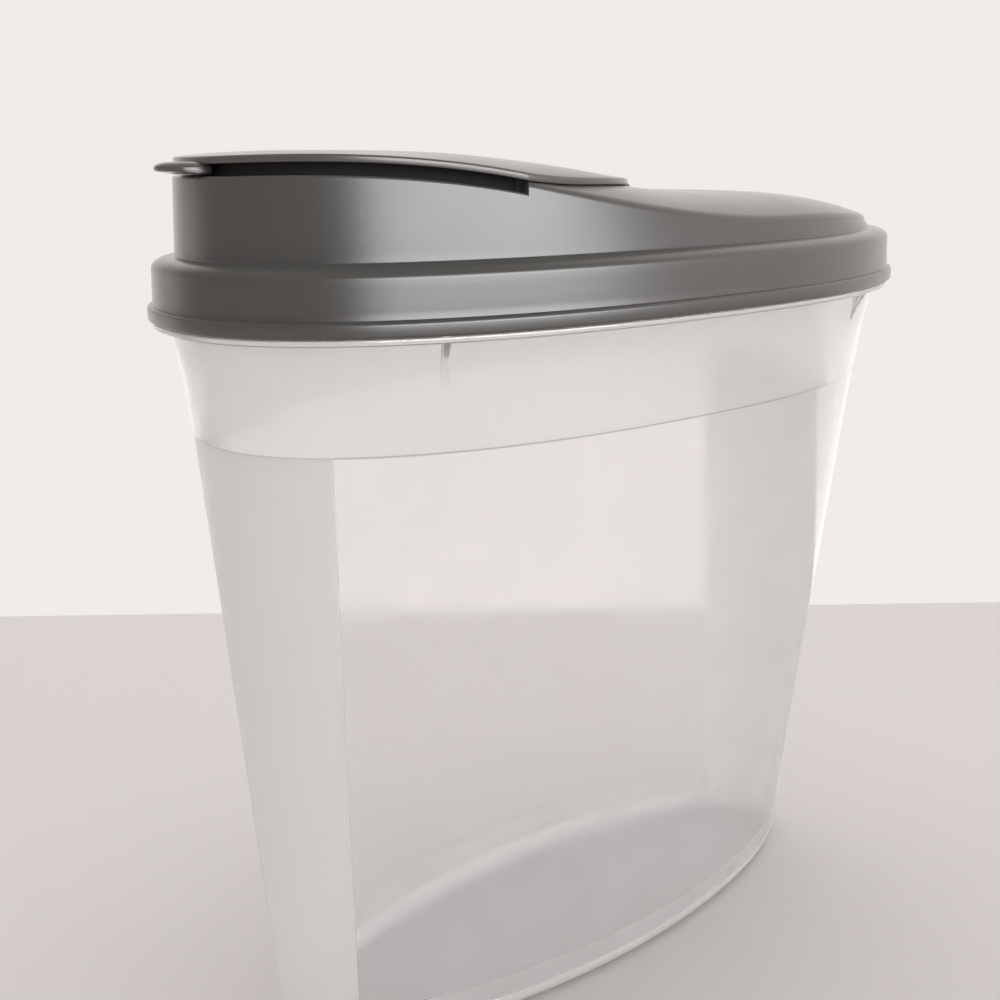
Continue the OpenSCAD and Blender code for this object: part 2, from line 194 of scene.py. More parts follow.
def add_blend(tree, share, first, last):
    """A colour from first to last by a share. Each is a hex code or a colour socket."""
    first, last = (to_linear(c) if isinstance(c, str) else c for c in (first, last))
    inputs = {0: share, 6: first, 7: last}
    return add_node(tree, "ShaderNodeMix", inputs, data_type="RGBA").outputs[2]


def add_noise(tree, place, scale, detail):
    """The value of a noise with its scale in waves per metre."""
    inputs = {"Vector": place, "Scale": scale, "Detail": detail}
    return add_node(tree, "ShaderNodeTexNoise", inputs).outputs[0]


def add_grain(tree, strength, height):
    """The normal of a grain 0.1 mm deep."""
    inputs = {"Strength": strength, "Distance": 0.1 * MM, "Height": height}
    return add_node(tree, "ShaderNodeBump", inputs).outputs[0]


def new_material(name):
    """An empty node material and its output node."""
    material = bpy.data.materials.new(name)
    material.use_nodes = True
    material.node_tree.nodes.clear()
    return material, add_node(material.node_tree, "ShaderNodeOutputMaterial")


tub_turn = full_turn(384)
fillet_r = foot_r - wall_t / 2
recess = np.array([[34, recess_h], [recess_in, recess_h], [recess_in - 2, 0.1], [recess_in - 3, 0]])
outer_foot = arc(foot_r, foot_r, foot_r, 270, 180, 12)
wall_z = np.linspace(foot_r + 6, step_z - 0.6, 24)
outer_wall = np.stack([np.zeros_like(wall_z), wall_z], 1)
step = np.array([
    [0, step_z - 0.15],
    [0.05 - step_out, step_z],
    [-step_out, step_z + 0.1],
    [-step_out, band_z],
])
flange_edge = np.concatenate([
    arc(flange_in + edge_r, flange_low + edge_r, edge_r, 270, 180, 5),
    arc(flange_in + edge_r, flange_top - edge_r, edge_r, 180, 90, 5),
    arc(collar_in - flange_fillet, flange_top + flange_fillet, flange_fillet, 270, 360, 4),
    arc(collar_in + edge_r, collar_top - edge_r, edge_r, 180, 90, 6),
    arc(collar_in + collar_t - edge_r, collar_top - edge_r, edge_r, 90, 0, 6),
    arc(collar_in + collar_t + flange_fillet, flange_top + flange_fillet, flange_fillet, 180, 270, 4),
    arc(rim_overhang + wall_t - edge_r, flange_top - edge_r, edge_r, 90, 0, 5),
])
under_flange = arc(-step_out - flange_root_r, flange_low - flange_root_r, flange_root_r, 180, 90, 5)
inner_z = np.linspace(flange_low - 1, floor_t + fillet_r + 4, 24)
inner_wall = np.stack([np.full_like(inner_z, wall_t), inner_z], 1)
inner_foot = arc(wall_t + fillet_r, floor_t + fillet_r, fillet_r, 180, 270, 12)
floor_rings = np.array([[18, floor_t], [26, floor_t], [34, floor_t]])
tub = skin(
    "container_tub",
    np.concatenate([
        tub_wall(recess, tub_turn),
        tub_wall(outer_foot, tub_turn),
        tub_wall(outer_wall, tub_turn),
        tub_wall(step, tub_turn),
        tub_wall(under_flange, tub_turn),
        rim_rings(flange_edge, tub_turn),
        tub_wall(inner_wall, tub_turn),
        tub_wall(inner_foot, tub_turn),
        tub_wall(floor_rings, tub_turn),
    ]),
    (0, 0, recess_h),
    (0, 0, floor_t),
)


def gusset(side_x, side_y):
    """A rib that reaches out from the wall under the flange: level squared ovals whose outer end
    draws in and whose thickness thins on the way down, turned to the wall's normal."""
    share = gusset_at / (half_len - rim_overhang)
    y = (half_wid - rim_overhang) * (1 - share ** rim_power) ** (1 / rim_power)
    across = (gusset_at / half_len) ** (rim_power - 1) / half_len
    along = (y / half_wid) ** (rim_power - 1) / half_wid
    angle = math.atan2(side_y * along, side_x * across)
    foot_z = flange_low + flange_top - lid_low + gusset_lift - gusset_h
    z = np.linspace(foot_z, flange_low + 1, 14)[:, None]
    rise = np.clip((z - z[0]) / (z[-1] - z[0]), 0, 1)
    root, tip = -(wall_t + step_out) / 2, gusset_tip + gusset_reach * rise ** 1.2
    half_t = gusset_t * (1 / 3 + rise / 6)
    px, py = squared_oval((tip - root) / 2, half_t, gusset_power, full_turn(28))
    px = px + (tip + root) / 2
    x = side_x * gusset_at + px * math.cos(angle) - py * math.sin(angle)
    yy = side_y * y + px * math.sin(angle) + py * math.cos(angle)
    return skin_ends("gusset", np.stack([x, yy, np.broadcast_to(z, x.shape)], 2))


join_solids(tub, "UNION", *[gusset(sx, sy) for sx in (-1, 1) for sy in (-1, 1)])

# Natural polypropylene as moulded: milky where the mould is textured, and hazy but clear in the
# polished panels, with less polish above the step and in a band at the foot. The eye gets a soft veil
# with sharper things seen through the panels. Along the step a fine grey line is painted as the shade
# of its corner.
panel_half, panel_flare = 106.2 * MM, 0.04
floor_z, foot_band_z = 8.5, 17.5


def above(tree, z, level, first=0.0, last=1.0, blur=0.3):
    """A number that goes from first to last as z passes the level, within the blur, both in mm."""
    return add_range(tree, z, (level - blur) * MM, (level + blur) * MM, first, last)


polypropylene, output = new_material("natural_polypropylene_moulded")
tree = polypropylene.node_tree
place = add_node(tree, "ShaderNodeTexCoord").outputs["Object"]
axes = add_node(tree, "ShaderNodeSeparateXYZ", {0: place}).outputs
panel_edge = add_math(tree, "MULTIPLY_ADD", axes["Z"], panel_flare, panel_half)
inside = add_math(tree, "SUBTRACT", panel_edge, add_math(tree, "ABSOLUTE", axes["X"]))
panel = add_range(tree, inside, -0.3 * MM, 0.3 * MM)
polish = add_mix(tree, above(tree, axes["Z"], step_z, blur=0.2), panel, 0.8)
polish = add_math(tree, "MULTIPLY", polish, above(tree, axes["Z"], floor_z))
polish = add_math(tree, "MULTIPLY", polish, above(tree, axes["Z"], foot_band_z, 0.7, 1.0))
haze = add_noise(tree, place, 26.0, 3.0)
frost = add_noise(tree, place, 1400.0, 1.0)
rough = add_mix(tree, polish, 0.4, add_range(tree, haze, 0.35, 0.7, 0.07, 0.13))
frost_share = above(tree, axes["Z"], floor_z, 0.3, 0.55)
see = add_mix(tree, polish, frost_share, add_range(tree, haze, 0.3, 0.7, 0.93, 0.89))
tint = add_blend(tree, polish, "#FDFCFA", "#FCFBFB")
# painted shade: a fine grey line along the step, stronger in the clear panels, stands in for the shade
# of the step's corner
step_shade_band = add_math(tree, "COMPARE", axes["Z"], step_z * MM, 0.35 * MM)
line = add_math(tree, "MULTIPLY", step_shade_band, add_mix(tree, panel, 0.15, 0.5))
tint = add_blend(tree, line, tint, "#8C8B8A")
plastic = add_node(
    tree,
    "ShaderNodeBsdfPrincipled",
    {
        "Base Color": tint,
        "Roughness": rough,
        "IOR": 1.49,
        "Transmission Weight": see,
        "Normal": add_grain(tree, add_mix(tree, polish, 0.25, 0.02), frost),
    },
)
milk = add_node(tree, "ShaderNodeBsdfTranslucent", {"Color": to_linear("#F4F6FB")})
milk_share = add_mix(tree, polish, 0.22, 0.06)
layers = {0: milk_share, 1: plastic.outputs[0], 2: milk.outputs[0]}
moulded = add_node(tree, "ShaderNodeMixShader", layers)
tree.links.new(moulded.outputs[0], output.inputs[0])
finish_piece(tub, polypropylene, "container", "container")

# Lid. One satin grey polypropylene moulding that snaps over the rim: a beaded skirt, a rounded
# shoulder, an upper wall that falls from the spout to the rear, a crowned deck, the finger slot with
# its gutter, the collar round the pour opening, and the trough with two bores for the cap's hinge.
lid_t, wall_foot_in, wall_foot_z, wall_top_in = 2.0, 9.2, 19.3, 10.7
peak_x, front_rise, front_curve_r = -122.0, 45.0, 300.0
scoop_front, scoop_back, rear_rise, rear_curve_r = 60.0, 45.0, 25.6, 850.0
front_crown, rear_crown, crown_start = 2.5, 8.0, 110.0
slot_end, slot_h, gutter_depth, slot_reach = 62.0, 3.0, 3.0, 7.8
opening_in, opening_back = 18.5, 35.0
end_turn = math.acos(-(slot_end / (half_len - wall_top_in)) ** (rim_power / 2))
n_behind, n_ahead = 260, 280
behind = np.linspace(-end_turn + 0.0006, end_turn - 0.0006, n_behind)
ahead = np.linspace(end_turn, 2 * math.pi - end_turn, n_ahead)
lid_turn = np.concatenate([behind, ahead])


def ease(u):
    """Soft blend: u squared times (3 - 2 u), with u held between 0 and 1."""
    u = np.clip(u, 0, 1)
    return u * u * (3 - 2 * u)


def seat_line(x):
    """Height of the wall's top above the lid's lower edge: a parabola over the spout, an eased
    scoop that leaves it with the same slope, and a flatter parabola over the rear."""
    front = front_rise - (x - peak_x) ** 2 / (2 * front_curve_r)
    start = front_rise - (-scoop_front - peak_x) ** 2 / (2 * front_curve_r)
    span, slope = scoop_front + scoop_back, (scoop_front + peak_x) / front_curve_r
    u = np.clip((x + scoop_front) / span, 0, 1)
    scoop = start + (rear_rise - start) * ease(u) + span * slope * u * (1 - u) ** 2
    rear = rear_rise - (x - scoop_back) ** 2 / (2 * rear_curve_r)
    return np.where(x < -scoop_front, front, np.where(x < scoop_back, scoop, rear))


def wall_share(x, y):
    """How far a point lies towards the upper wall's line, 1 on it: the squared oval's norm."""
    u, v = np.abs(x) / (half_len - wall_top_in), np.abs(y) / (half_wid - wall_top_in)
    return (u ** rim_power + v ** rim_power) ** (1 / rim_power)


def deck_z(x, y):
    """Height of the deck above the lid's lower edge: the seat line plus a crown that fades out with
    the fifth power of the wall share."""
    opening_end = opening_back - slot_end
    rise = ease((x + crown_start) / (opening_end + crown_start))
    crown = front_crown + (rear_crown - front_crown) * rise
    return seat_line(x) + crown * (1 - np.minimum(1, wall_share(x, y)) ** 5)


def edge_radius(x):
    """Radius of the deck's edge: 1.7 mm, less over the rear, where the wall under it is low."""
    return np.minimum(1.7, 0.6 * (seat_line(x) - wall_foot_z))


def wall_inset(x, z):
    """Distance in from the bead of the leaning wall at height z: it runs straight from the foot's to
    the top's in the share (z - foot) / (seat line - edge radius - foot)."""
    rise = seat_line(x) - edge_radius(x) - wall_foot_z
    return wall_foot_in + (wall_top_in - wall_foot_in) * (z - wall_foot_z) / rise


def edge_drop(x, y):
    """Rounding of the deck's edge: radius less the root of radius squared less (radius - d) squared,
    where d is the distance in from the wall line, from the wall share over its slope."""
    radius = edge_radius(x)
    r = np.maximum(wall_share(x, y), 1e-6)
    gx = (np.abs(x) / (half_len - wall_top_in)) ** (rim_power - 1) / (half_len - wall_top_in)
    gy = (np.abs(y) / (half_wid - wall_top_in)) ** (rim_power - 1) / (half_wid - wall_top_in)
    d = np.clip((1 - r) / (np.hypot(gx, gy) * r ** (1 - rim_power)), 0, radius)
    return radius - np.sqrt(radius ** 2 - (radius - d) ** 2)


def joined_line(inset, back):
    """The rim's oval drawn in by inset ahead of the slot's end, and behind it half an oval that
    starts from the same two points and reaches back by the length back."""
    x, y = rim_oval(inset, ahead)
    ex, ey = rim_oval(inset, np.array(end_turn))
    a = np.linspace(-math.pi / 2 + 0.002, math.pi / 2 - 0.002, n_behind)
    shape = np.broadcast(x, ex, inset).shape
    x, y = np.broadcast_to(x, shape), np.broadcast_to(y, shape)
    back_x, back_y = ex + back * np.cos(a), ey * np.sin(a)
    return np.concatenate([back_x, x], -1), np.concatenate([back_y, y], -1)


skirt_in, shelf, seal_in, seal_t, seal_depth = 3.8, 15.3, 6.4, 1.2, 8.0
shoulder = np.radians(np.linspace(0, 90, 14))
lower_profile = np.concatenate([
    arc(skirt_in - 0.5, 0.5, 0.5, 0, -90, 4),
    arc(0.7, 0.7, 0.7, 270, 180, 6),
    arc(1.1, 3.4, 1.1, 180, 90, 7),
    arc(1.4, 4.8, 0.3, 270, 360, 4),
    [[1.8, 7.0], [1.95, 10.0], [2.1, 13.0]],
    np.stack([2.2 + 6.4 * (1 - np.cos(shoulder)), 15.2 + 3.6 * np.sin(shoulder)], 1),
    arc(8.7, 19.3, 0.5, 270, 360, 5),
])
lower_profile[:, 1] += lid_low
slot_lip, lip_start = 0.8, 20.0
lip_a = np.radians(np.linspace(0, 90, 7))
# each row: distance in from the wall line, level (0 wall top, 1 gutter, 2 collar), height over it
slot_profile = np.concatenate([
    np.stack([slot_lip * (1 - np.cos(lip_a)), 0 * lip_a, slot_lip * (np.sin(lip_a) - 1)], 1),
    [[1.4, 0, 0], [1.75, 0, -0.07], [1.93, 0, -0.3]],
    [[1.98, 1, 0.5], [2.12, 1, 0.14], [2.5, 1, 0], [4.0, 1, 0], [5.5, 1, 0]],
    [[5.86, 1, 0.14], [5.97, 1, 0.5], [6.02, 2, -0.3], [6.15, 2, -0.07], [6.45, 2, 0]],
    [[7.2, 2, 0], [7.62, 2, -0.07], [slot_reach, 2, -0.3]],
])
n_lip = len(lip_a)
n_top = len(slot_profile)
deck_lip = np.concatenate([1 - np.cos(lip_a), np.full(n_top - n_lip, 1.0)])
spread = np.linspace(0.01, 1, n_top - n_lip - 1) ** 1.3
deck_share = np.concatenate([np.zeros(n_lip), spread, [1.0]])
deck_low = np.concatenate([np.zeros(n_top - 2), [-0.05, -0.3]])


def off_slot(share):
    """0 at the slot's two ends and 1 further back: the count of points from the nearer end, over
    the share of them all, eased."""
    k = np.arange(n_behind)
    return ease(np.minimum(k, n_behind - 1 - k) / (share * n_behind))


def top_rings():
    """Rings over the lid's top. Ahead of the slot's end they follow the slot's profile at its
    distances in from the wall line. Behind it they start as insets of the wall line, run out over
    the deck to the opening, and near the slot's end ease into the same distances as ahead."""
    d, level, rise = slot_profile.T[:, :, None]
    x, _ = rim_oval(wall_top_in, ahead)
    low_in = wall_inset(x, seat_line(x) - slot_h - slot_lip)
    d_ahead = np.where(d < 1, low_in - wall_top_in + d, d)
    x, y = rim_oval(wall_top_in + d_ahead, ahead)
    seat = seat_line(x)
    levels = np.stack([seat - slot_h, seat - slot_h - gutter_depth, deck_z(x, y) + 0.2])
    pick = np.broadcast_to(level.astype(int), x.shape)[None]
    z = np.take_along_axis(levels, pick, 0)[0] + rise
    ox, oy = joined_line(opening_in, opening_back)
    ox, oy = ox[:n_behind], oy[:n_behind]
    wx, wy = rim_oval(wall_top_in, behind)
    near_x, near_y = wx + (ox - wx) * d / slot_reach, wy + (oy - wy) * d / slot_reach
    sx, sy = rim_oval(wall_top_in + deck_lip[:, None] * edge_radius(wx), behind)
    share = deck_share[:, None]
    far_x, far_y = sx + (ox - sx) * share, sy + (oy - sy) * share
    e = off_slot(0.15)
    bx, by = near_x + (far_x - near_x) * e, near_y + (far_y - near_y) * e
    bz = deck_z(bx, by) - edge_drop(bx, by) + deck_low[:, None]
    back, front = np.stack([bx, by, lid_low + bz], 2), np.stack([x, y, lid_low + z], 2)
    return np.concatenate([back, front], 1)


def wall_rings(count):
    """Rings of the leaning wall at even shares of its height, up to a line that lies just under the
    slot's lip and eases up to the deck's edge behind it, and two more that close up on its top."""
    x, _ = rim_oval(wall_top_in, lid_turn)
    seat = seat_line(x)
    is_ahead = np.arange(len(lid_turn)) >= n_behind
    under_lip, under_edge = slot_h + slot_lip + 0.4, edge_radius(x) + 0.1
    near_slot = ease((-lip_start - x) / (slot_end - lip_start))
    common = seat - under_edge - (under_lip - under_edge) * near_slot
    last = np.where(is_ahead, seat - slot_h - slot_lip, seat - edge_radius(x))
    low = wall_foot_z + (common - wall_foot_z) * np.linspace(0, 1, count)[1:, None]
    high = common + (last - common) * np.array([[0.4], [0.8]])
    z = np.concatenate([low, high])
    px, py = rim_oval(wall_inset(x, z), lid_turn)
    return np.stack([px, py, lid_low + z], 2)


def under_rings():
    """Rings under the deck and the gutter: shares of the way from the wall line to the opening, one
    wall thickness below the gutter ahead and below the deck behind."""
    steps = np.linspace(0, 6, 13)
    share_ahead = np.interp(steps, range(7), [1, 0.9, 0.8, 0.7, 0.6, 0.45, 0.34])[:, None]
    share_behind = np.interp(steps, range(7), [1, 0.8, 0.6, 0.42, 0.28, 0.17, 0.1])[:, None]
    back = share_ahead + (share_behind - share_ahead) * off_slot(0.16)
    share = np.concatenate([back, np.repeat(share_ahead, n_ahead, 1)], 1)
    ox, oy = joined_line(opening_in, opening_back)
    wx, wy = rim_oval(wall_top_in, lid_turn)
    x, y = wx + (ox - wx) * share, wy + (oy - wy) * share
    return np.stack([x, y, lid_low + under_z(x, y)], 2)


def under_z(x, y):
    """Height of the lid's underside: one wall below the gutter ahead of the slot's end, and below
    the deck behind it."""
    is_ahead = np.arange(n_behind + n_ahead) >= n_behind
    return np.where(is_ahead, seat_line(x) - slot_h - gutter_depth - lid_t, deck_z(x, y) - lid_t)


inner_x, inner_y = rim_oval(wall_top_in + lid_t, lid_turn)
inner_top = np.stack([inner_x, inner_y, lid_low + under_z(inner_x, inner_y)], 1)[None]
inner_profile = np.array([
    [wall_foot_in + lid_t, 18.0],
    [seal_in + seal_t + 0.8, shelf + 0.3],
    [seal_in + seal_t, shelf - 1],
    [seal_in + seal_t - 0.25, shelf - seal_depth + 0.3],
    [seal_in + seal_t - 0.5, shelf - seal_depth],
    [seal_in + 0.5, shelf - seal_depth],
    [seal_in + 0.25, shelf - seal_depth + 0.3],
    [seal_in, shelf - 1],
    [seal_in, shelf],
    [skirt_in, shelf],
])
inner_profile[:, 1] += lid_low
lower_rings = rim_rings(lower_profile, lid_turn)
lid_top = top_rings()
lid = skin(
    "lid_shell",
    np.concatenate([
        lower_rings,
        wall_rings(9),
        lid_top,
        under_rings(),
        inner_top,
        rim_rings(inner_profile, lid_turn),
    ]),
)

hinge_x, hinge_depth, barrel_r, barrel_half = 7.0, 2.8, 5.1, 24.0
pin_r, pin_len, bore_r, side_gap, end_gap = 1.7, 3.0, 1.75, 0.3, 0.15
open_angle, trough_rise = 100, 1.8


def on_middle(surface, x):
    """Height of a surface of x and y on the lid's middle line."""
    return float(surface(np.array(x), np.array(0.0)))


hinge_z = lid_low + on_middle(deck_z, hinge_x) - hinge_depth
hinge_tilt = math.atan(on_middle(deck_z, hinge_x - 0.5) - on_middle(deck_z, hinge_x + 0.5))


def turned(x, z, angle):
    """Points (x, z) turned about the cross axis: x cos + z sin, and z cos - x sin of the angle."""
    return x * math.cos(angle) + z * math.sin(angle), z * math.cos(angle) - x * math.sin(angle)


def cross_bar(name, outline, stations, tilt=0.0):
    """A bar across the lid: the outline (x, z) is scaled about its middle at each station (y, scale),
    turned by the tilt about the hinge axis, and carried from +Y to -Y."""
    y, scale = np.array(stations, float).T[:, :, None]
    middle = outline.mean(0)
    px = middle[0] + (outline[:, 0] - middle[0]) * scale
    pz = middle[1] + (outline[:, 1] - middle[1]) * scale
    x, z = turned(px, pz, tilt)
    return skin_ends(name, np.stack([hinge_x + x, np.broadcast_to(y, x.shape), hinge_z + z], 2))


def both_ends(*stations):
    """The stations (y, scale) of one end, and then the same mirrored, in reverse."""
    return [*stations, *((-y, scale) for y, scale in reversed(stations))]


def circle(radius, first=0.0, last=360.0, count=72):
    """Points of a circle round the hinge axis, by angle in degrees."""
    a = np.radians(np.linspace(first, last, count, endpoint=last - first < 360))
    return np.stack([radius * np.cos(a), radius * np.sin(a)], 1)


trough_r, trough_half = barrel_r + side_gap, barrel_half + side_gap
housing_r, housing_half = trough_r + lid_t, trough_half + pin_len + side_gap + lid_t
housing = np.concatenate([
    circle(housing_r, 180, 360, 40),
    [[housing_r, trough_rise], [-housing_r, trough_rise]],
])
housing_ends = both_ends((housing_half, 0.92), (housing_half - 0.6, 1))
room_x = np.array([0, 0, -3 * barrel_r, -3 * barrel_r])
room_z = np.array([0, barrel_r + end_gap, barrel_r + end_gap, 0])
room = np.stack(turned(room_x, room_z, math.radians(open_angle)), 1)
join_solids(
    lid,
    "UNION",
    cross_bar("housing", housing, housing_ends, hinge_tilt),
)
join_solids(
    lid,
    "DIFFERENCE",
    cross_bar("trough", circle(trough_r), both_ends((trough_half, 1)), hinge_tilt),
    cross_bar("room", room, both_ends((barrel_half + end_gap, 1)), hinge_tilt),
    cross_bar("bore", circle(bore_r, count=40), both_ends((barrel_half + pin_len + 0.6, 1))),
)

# Satin grey polypropylene, moulded against a finely blasted tool: a broad soft sheen, a grain of
# about half a millimetre, and slightly uneven gloss where the melt flowed. Inside the slot the
# gutter has painted shade, a darker colour, and a rougher, less shiny finish, so it stays dark and
# dull.
gutter_shade_line, gutter_shade_x = 0.962, 0.2 - slot_end
satin_grey, output = new_material("satin_polypropylene_dark_grey")
tree = satin_grey.node_tree
place = add_node(tree, "ShaderNodeTexCoord").outputs["Object"]
axes = add_node(tree, "ShaderNodeSeparateXYZ", {0: place}).outputs
# painted shade: inside this line and ahead of the slot's end the gutter's colour is darkened, and the
# same mask raises roughness and lowers the specular level
norm = []
for axis, reach in (("X", half_len - wall_top_in), ("Y", half_wid - wall_top_in)):
    share = add_math(tree, "DIVIDE", add_math(tree, "ABSOLUTE", axes[axis]), reach * MM)
    norm.append(add_math(tree, "POWER", share, rim_power))
within = add_math(tree, "LESS_THAN", add_math(tree, "ADD", *norm), gutter_shade_line)
in_front = add_math(tree, "LESS_THAN", axes["X"], gutter_shade_x * MM)
gutter_shade_and_dull = add_math(tree, "MULTIPLY", within, in_front)
flow = add_noise(tree, place, 18.0, 3.0)
shade = add_blend(tree, flow, "#51504E", "#575755")
plastic = add_node(
    tree,
    "ShaderNodeBsdfPrincipled",
    {
        # painted shade: the gutter's colour is darkened to stand in for the shade inside the slot
        "Base Color": add_blend(tree, gutter_shade_and_dull, shade, "#2C2B2A"),
        "Roughness": add_mix(tree, gutter_shade_and_dull, add_range(tree, flow, 0.3, 0.7, 0.29, 0.35), 0.85),
        "Specular IOR Level": add_mix(tree, gutter_shade_and_dull, 0.5, 0.2),
        "IOR": 1.5,
        "Normal": add_grain(tree, 0.16, add_noise(tree, place, 1900.0, 2.0)),
    },
)
tree.links.new(plastic.outputs[0], output.inputs[0])
finish_piece(lid, satin_grey, "lid", "lid")

# Flip cap. A thin domed moulding over the pour opening: a thumb tab that overhangs the front, a
# plug that enters the spout's collar, and a barrel with two pins that snap into the lid's bores.
cap_t, cap_gap, cap_inset, cap_back = 2.0, 0.3, 0.5, 74.0
plug_in, plug_t, plug_depth = 0.4, 1.5, 4.0


def cap_line(inset):
    """The cap's outline drawn in by inset: the joined line, cut off at the hinge axis, and ahead of
    the barrel beyond the barrel's ends."""
    x, y = joined_line(wall_top_in + cap_inset + inset, cap_back - inset)
    limit = np.where(np.abs(y) < barrel_half - 0.3, hinge_x, hinge_x - barrel_r) - inset
    return np.minimum(x, limit), y


def cap_low(x, y):
    """Height of the cap's underside above the lid's lower edge: the deck plus the gap below it."""
    return deck_z(x, y) + cap_gap


def cap_rings(lines, rises):
    """Rings on outlines, each at its rise above the cap's underside."""
    x, y = np.array(lines).swapaxes(0, 1)
    return np.stack([x, y, lid_low + cap_low(x, y) + np.array(rises)[:, None]], 2)


def shared(line, share):
    """An outline drawn towards the middle of the cap by a share."""
    x, y = line
    return -slot_end + (x + slot_end) * share, y * share


def plug_line(inset):
    """The plug's outline: the opening's, drawn in by the plug's gap and the inset."""
    return joined_line(opening_in + plug_in + inset, opening_back - plug_in - inset)


plug_outer, plug_inner = plug_line(0), plug_line(plug_t)
plug_foot = [plug_line(plug_t + 0.2), plug_line(0.6)]
under_r, top_r = 0.3, 0.6
under_a, top_a = np.radians([0, 30, 60, 90]), np.radians([0, 22, 45, 68, 90])
shares = [0.985, 0.965, 0.93, 0.88, 0.82, 0.74, 0.66, 0.56, 0.44, 0.33, 0.22, 0.11]
cap_lines = (
    [shared(plug_inner, s) for s in (0.25, 0.5, 0.75)]
    + [plug_inner, *plug_foot, plug_outer, plug_outer, cap_line(5.5), cap_line(2.5)]
    + [cap_line(under_r * (1 - math.sin(a))) for a in under_a]
    + [cap_line(top_r * (1 - math.cos(a))) for a in top_a]
    + [shared(cap_line(top_r), s) for s in shares]
)
cap_rises = (
    [0, 0, 0, 0, -plug_depth, -plug_depth, -plug_depth / 3, 0, 0, 0]
    + [under_r * (1 - math.cos(a)) for a in under_a]
    + [cap_t - top_r * (1 - math.sin(a)) for a in top_a]
    + [cap_t] * len(shares)
)
middle_low = lid_low + on_middle(cap_low, -slot_end)
cap = skin(
    "flip_cap_panel",
    cap_rings(cap_lines, cap_rises),
    (-slot_end, 0, middle_low),
    (-slot_end, 0, middle_low + cap_t),
)
barrel_ends = both_ends((barrel_half, 0.9), (barrel_half - 0.1, 0.96), (barrel_half - 0.4, 1))
barrel = cross_bar("flip_cap_barrel", circle(barrel_r), barrel_ends)
pin_end = barrel_half + pin_len
pin_ends = both_ends((pin_end, 0.7), (pin_end - 0.2, 0.88), (pin_end - 0.6, 1))
pins = cross_bar("flip_cap_pins", circle(pin_r, count=40), pin_ends)
tab_r, tab_t, tab_middle, tab_root, tab_drop = 9.0, 2.6, -134.5, -130.3, 1.9
tab_low = lid_low + on_middle(cap_low, wall_top_in + cap_inset - half_len) - tab_drop
# each row: distance in from the disc's edge, height over its underside
tab_profile = np.array([
    [5, 0], [0.9, 0], [0.45, 0.1], [0.12, 0.38], [0, 0.85], [0.1, 1.25], [0.35, 1.6],
    [0.85, 1.95], [1.7, 2.3], [2.6, 2.5], [3.5, 2.58], [5, tab_t],
])
# under the tab the plastic thickens towards its root, so that no light shows over the lid's wall
root_extra, root_start, root_span = 0.9, -142.0, 8.0
tab_x, tab_y = squared_oval(tab_r - tab_profile[:, :1], tab_r - tab_profile[:, :1], 2, full_turn(96))
tab_x = np.minimum(tab_x + tab_middle, tab_root)
is_under = tab_profile[:, 1:] < 0.5
root = root_extra * ease((tab_x - root_start) / root_span)
tab_z = tab_low + tab_profile[:, 1:] - root * is_under
tab = skin(
    "flip_cap_tab",
    np.stack([tab_x, tab_y, tab_z], 2),
    (tab_middle, 0, tab_low - root_extra),
    (tab_middle, 0, tab_low + tab_t),
)
join_solids(cap, "UNION", barrel, pins, tab)

# The cap is the same satin polypropylene from its own tool, a little warmer, with a finer grain. It
# gives the eye the same broad sheen, one tone lighter than the lid.
cap_grey, output = new_material("satin_polypropylene_warm_grey")
tree = cap_grey.node_tree
place = add_node(tree, "ShaderNodeTexCoord").outputs["Object"]
flow = add_noise(tree, place, 22.0, 3.0)
plastic = add_node(
    tree,
    "ShaderNodeBsdfPrincipled",
    {
        "Base Color": add_blend(tree, flow, "#5A5755", "#605D5A"),
        "Roughness": add_range(tree, flow, 0.3, 0.7, 0.29, 0.35),
        "IOR": 1.5,
        "Normal": add_grain(tree, 0.12, add_noise(tree, place, 2100.0, 2.0)),
    },
)
tree.links.new(plastic.outputs[0], output.inputs[0])
finish_piece(cap, cap_grey, "flip_cap", "flip_cap")

# Floor. A plain pale slab that ends behind the container, square to the camera's line of sight.
yaw, pitch, roll = math.radians(35.978), math.radians(16.48), math.radians(-0.826)
ahead_dir = np.array([math.sin(yaw), math.cos(yaw)])
side_dir = np.array([math.cos(yaw), -math.sin(yaw)])
eye = np.array([-0.26218, -0.32287, 0.30140])
floor_near, floor_far, floor_half = -2.2, 0.75, 2.2
corners = [
    eye[:2] + ahead_dir * far + side_dir * side
    for far, side in (
        (floor_near, -floor_half),
        (floor_near, floor_half),
        (floor_far, floor_half),
        (floor_far, -floor_half),
    )
]
floor_mesh = bpy.data.meshes.new("floor")
floor_mesh.from_pydata([(*c, 0.0) for c in corners], [], [(0, 1, 2, 3)])
floor = add_object("floor", floor_mesh)
matt_floor, output = new_material("matt_pale_floor")
tree = matt_floor.node_tree
paint = add_node(
    tree,
    "ShaderNodeBsdfPrincipled",
    {"Base Color": to_linear("#D2CFCD"), "Roughness": 0.9, "Specular IOR Level": 0.1},
)
tree.links.new(paint.outputs[0], output.inputs[0])
floor_mesh.materials.append(matt_floor)

# Soft studio light: a wide level panel along the near side that only shows as sheen, a soft one
# overhead, and a surround that glossy surfaces see as pale behind the container and dim before it.
def facing(right, up, back, place):
    """Matrix whose columns are the object's right, up and back in the world, and its place."""
    return Matrix([*np.stack([right, up, back, place], 1).tolist(), (0, 0, 0, 1)])


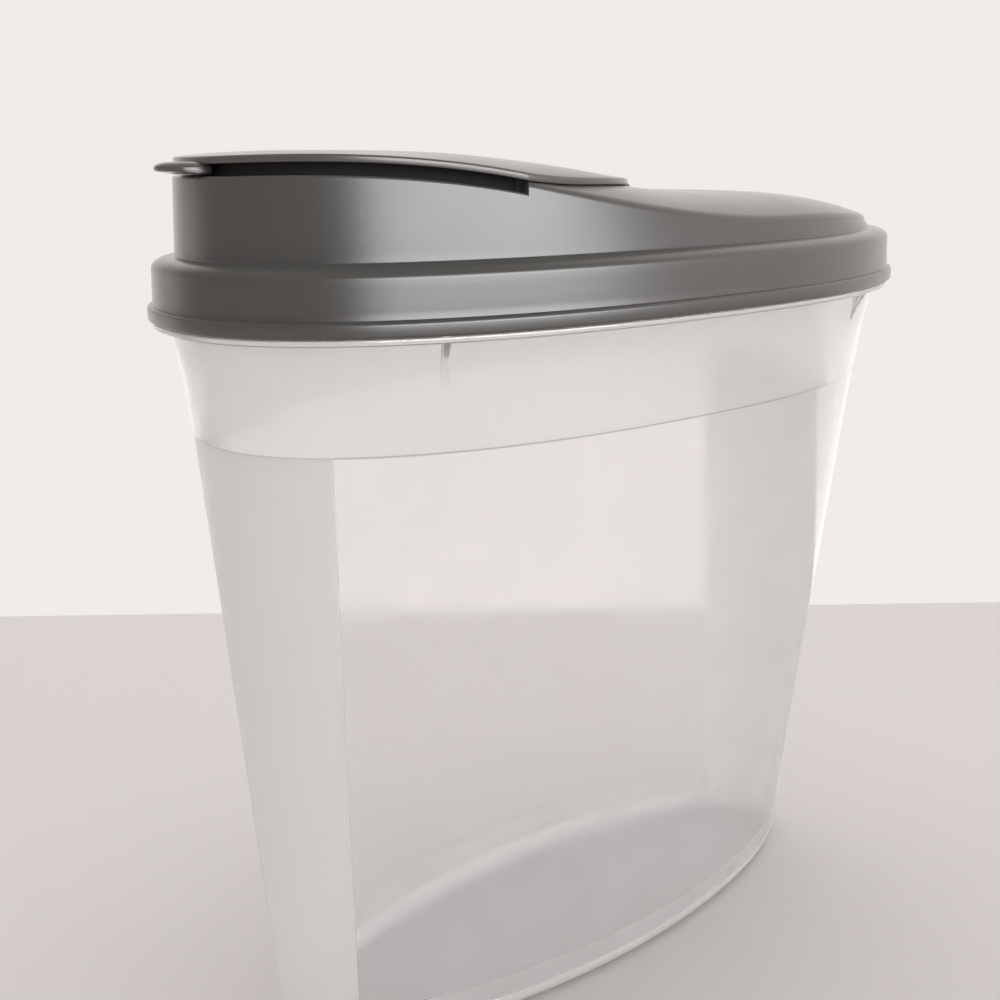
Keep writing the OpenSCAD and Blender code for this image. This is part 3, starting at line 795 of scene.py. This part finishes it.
def soft_panel(name, place, target, width, height, power):
    """A rectangular lamp at place that faces target."""
    lamp = bpy.data.lights.new(name, "AREA")
    lamp.shape, lamp.size, lamp.size_y, lamp.energy = "RECTANGLE", width, height, power
    made = add_object(name, lamp)
    back = np.array(place) - np.array(target)
    back = back / np.linalg.norm(back)
    right = np.cross([0, 0, 1], back)
    right = right / np.linalg.norm(right)
    made.matrix_world = facing(right, np.cross(back, right), back, place)
    return made


sheen = soft_panel("near_panel", (-0.04, -1.57, 0.6), (-0.07, -0.06, 0.29), 1.9, 0.8, 62)
sheen.visible_diffuse = False
sheen.visible_transmission = False
soft_panel("top_panel", (0.25, 0.2, 1.7), (0, 0, 0.2), 1.6, 1.4, 10).visible_glossy = False
world = bpy.data.worlds.new("studio")
bpy.context.scene.world = world
world.use_nodes = True
tree = world.node_tree
tree.nodes.clear()
way = add_node(tree, "ShaderNodeTexCoord").outputs["Generated"]
bright_side = (0.906, 0.423, -0.6)
dim, pale, plain, seen_through = 0.18, 1.75, 0.95, 1.2
towards = add_node(tree, "ShaderNodeVectorMath", {0: way, 1: bright_side}, operation="DOT_PRODUCT")
towards = towards.outputs["Value"]
mirrored = add_range(tree, towards, -0.4, 0.45, dim, pale, interpolation_type="SMOOTHSTEP")
rays = add_node(tree, "ShaderNodeLightPath").outputs
lit = add_mix(tree, rays["Is Glossy Ray"], plain, mirrored)
lit = add_mix(tree, rays["Is Transmission Ray"], lit, seen_through)
strength = add_mix(tree, rays["Is Camera Ray"], lit, 1.0)
surround = {"Color": to_linear("#F1EBE9"), "Strength": strength}
surround = add_node(tree, "ShaderNodeBackground", surround).outputs[0]
add_node(tree, "ShaderNodeOutputWorld", {0: surround})

# Camera, as fitted to the rim, lid and foot in the photograph.
level = np.array([*side_dir, 0.0])
forward = np.array([*(ahead_dir * math.cos(pitch)), -math.sin(pitch)])
above_it = np.cross(level, forward)
cam_x = math.cos(roll) * level + math.sin(roll) * above_it
cam_y = math.cos(roll) * above_it - math.sin(roll) * level
sensor_mm, focal_px, frame_px = 36.0, 1153.86, 1000
lens = bpy.data.cameras.new("camera")
lens.sensor_width, lens.lens = sensor_mm, focal_px * sensor_mm / frame_px
camera = add_object("camera", lens)
camera.matrix_world = facing(cam_x, cam_y, -forward, eye)
bpy.context.scene.camera = camera
bpy.context.scene.view_settings.view_transform = "Standard"
